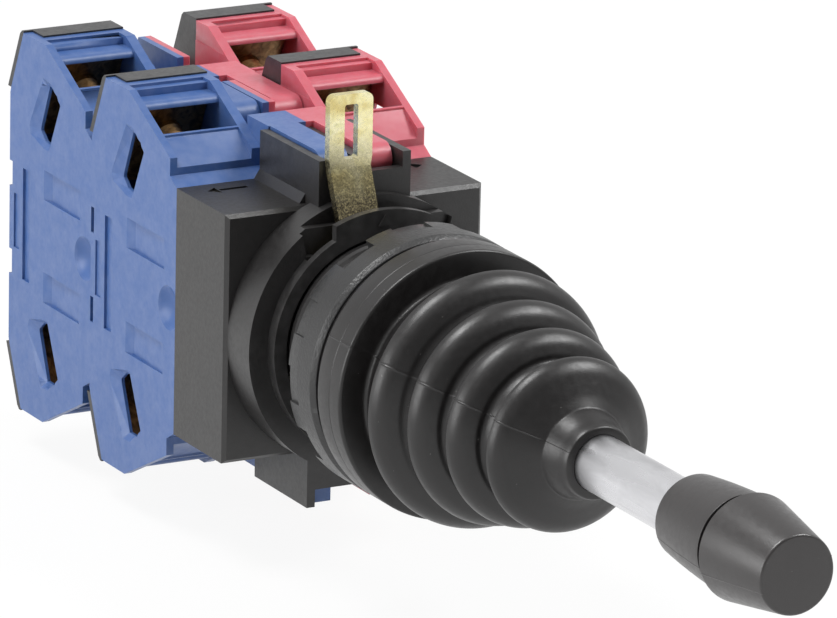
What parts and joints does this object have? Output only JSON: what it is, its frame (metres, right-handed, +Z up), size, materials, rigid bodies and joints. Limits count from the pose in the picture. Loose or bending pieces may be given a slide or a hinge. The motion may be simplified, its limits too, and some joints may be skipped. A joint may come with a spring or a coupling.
{
  "type": "industrial joystick switch",
  "caption": "Panel joystick switch: rubber-booted lever tilts on a gimbal and works stacked contact blocks through push rods.",
  "frame": {"origin": "centre of the panel seat, which is the front face of the key flange, on the axis of the lever at rest", "axes": "-Y along the lever out of the panel, +X to the right and +Z up as seen by someone standing in front of the panel"},
  "size_m": [0.03, 0.1422, 0.0471],
  "materials": {
    "black_housing": "fine moulded texture",
    "ring_plastic": "stippled",
    "boot_rubber": "satin",
    "knob_rubber": "satin",
    "rod_steel": "bright drawn",
    "rocker_steel": "plain",
    "pin_steel": "ground",
    "spring_steel": "drawn wire",
    "yellow_zinc": "yellow passivated zinc on steel",
    "blue_plastic": "satin",
    "red_plastic": "satin",
    "cover_plastic": "satin",
    "push_rod_plastic": "natural",
    "plunger_plastic": "natural",
    "contact_brass": "stamped",
    "screw_steel": "bronze coloured plating"
  },
  "bodies": {
    "base": {"housing": "black_housing", "key_flange": "black_housing", "operator_sleeve": "black_housing", "locking_ring": "ring_plastic", "boot_retainer": "ring_plastic", "boot": "boot_rubber", "cross_pins": "pin_steel", "centering_spring": "spring_steel", "front_left_casing": "blue_plastic", "front_right_casing": "red_plastic", "rear_left_casing": "blue_plastic", "rear_right_casing": "red_plastic", "front_left_upper_cover": "cover_plastic", "front_left_lower_cover": "cover_plastic", "front_right_upper_cover": "cover_plastic", "front_right_lower_cover": "cover_plastic", "rear_left_upper_cover": "cover_plastic", "rear_left_lower_cover": "cover_plastic", "rear_right_upper_cover": "cover_plastic", "rear_right_lower_cover": "cover_plastic", "front_left_contact_strips": "contact_brass", "front_right_contact_strips": "contact_brass", "rear_left_contact_strips": "contact_brass", "rear_right_contact_strips": "contact_brass", "front_left_return_spring": "spring_steel", "front_right_return_spring": "spring_steel", "rear_left_return_spring": "spring_steel", "rear_right_return_spring": "spring_steel", "terminal_screws": "screw_steel", "terminal_washers": "screw_steel"},
    "gimbal": {"gimbal_ring": "rocker_steel", "upright_pins": "pin_steel"},
    "lever": {"lever_rod": "rod_steel", "knob": "knob_rubber", "rocker": "rocker_steel", "rocker_nut": "pin_steel"},
    "bayonet": {"bayonet_lever": "yellow_zinc"},
    "up_pusher": {"up_push_rod": "push_rod_plastic", "rear_left_plunger": "plunger_plastic", "rear_left_bridge": "contact_brass", "rear_left_leaf_spring": "spring_steel"},
    "down_pusher": {"down_push_rod": "push_rod_plastic", "rear_right_plunger": "plunger_plastic", "rear_right_bridge": "contact_brass", "rear_right_leaf_spring": "spring_steel"},
    "left_pusher": {"left_push_rod": "push_rod_plastic", "front_left_plunger": "plunger_plastic", "front_left_bridge": "contact_brass", "front_left_leaf_spring": "spring_steel"},
    "right_pusher": {"right_push_rod": "push_rod_plastic", "front_right_plunger": "plunger_plastic", "front_right_bridge": "contact_brass", "front_right_leaf_spring": "spring_steel"}
  },
  "joints": [
    {"name": "tilt_up_down", "type": "hinge", "parent": "base", "child": "gimbal", "pos_m": [0, -0.008, 0], "axis": [1, 0, 0], "range_deg": [-15, 15], "stiffness_Nm_per_rad": 1, "deforming": ["boot", "centering_spring"]},
    {"name": "tilt_left_right", "type": "hinge", "parent": "gimbal", "child": "lever", "pos_m": [0, -0.008, 0], "axis": [0, 0, 1], "range_deg": [-15, 15], "stiffness_Nm_per_rad": 1, "deforming": ["boot", "centering_spring"]},
    {"name": "bayonet_swing", "type": "hinge", "parent": "base", "child": "bayonet", "pos_m": [0, 0, 0], "axis": [0, 1, 0], "range_deg": [0, 20]},
    {"name": "up_push", "type": "slide", "parent": "base", "child": "up_pusher", "axis": [0, 1, 0], "range_m": [-0.00184, 0.00184], "deforming": ["rear_left_return_spring"]},
    {"name": "down_push", "type": "slide", "parent": "base", "child": "down_pusher", "axis": [0, 1, 0], "range_m": [-0.00184, 0.00184], "deforming": ["rear_right_return_spring"]},
    {"name": "left_push", "type": "slide", "parent": "base", "child": "left_pusher", "axis": [0, 1, 0], "range_m": [-0.00184, 0.00184], "deforming": ["front_left_return_spring"]},
    {"name": "right_push", "type": "slide", "parent": "base", "child": "right_pusher", "axis": [0, 1, 0], "range_m": [-0.00184, 0.00184], "deforming": ["front_right_return_spring"]}
  ],
  "couplings": [
    {"joint": "up_push", "follows": "tilt_up_down", "m_per_rad": -0.007},
    {"joint": "down_push", "follows": "tilt_up_down", "m_per_rad": 0.007},
    {"joint": "left_push", "follows": "tilt_left_right", "m_per_rad": -0.007},
    {"joint": "right_push", "follows": "tilt_left_right", "m_per_rad": 0.007}
  ]
}
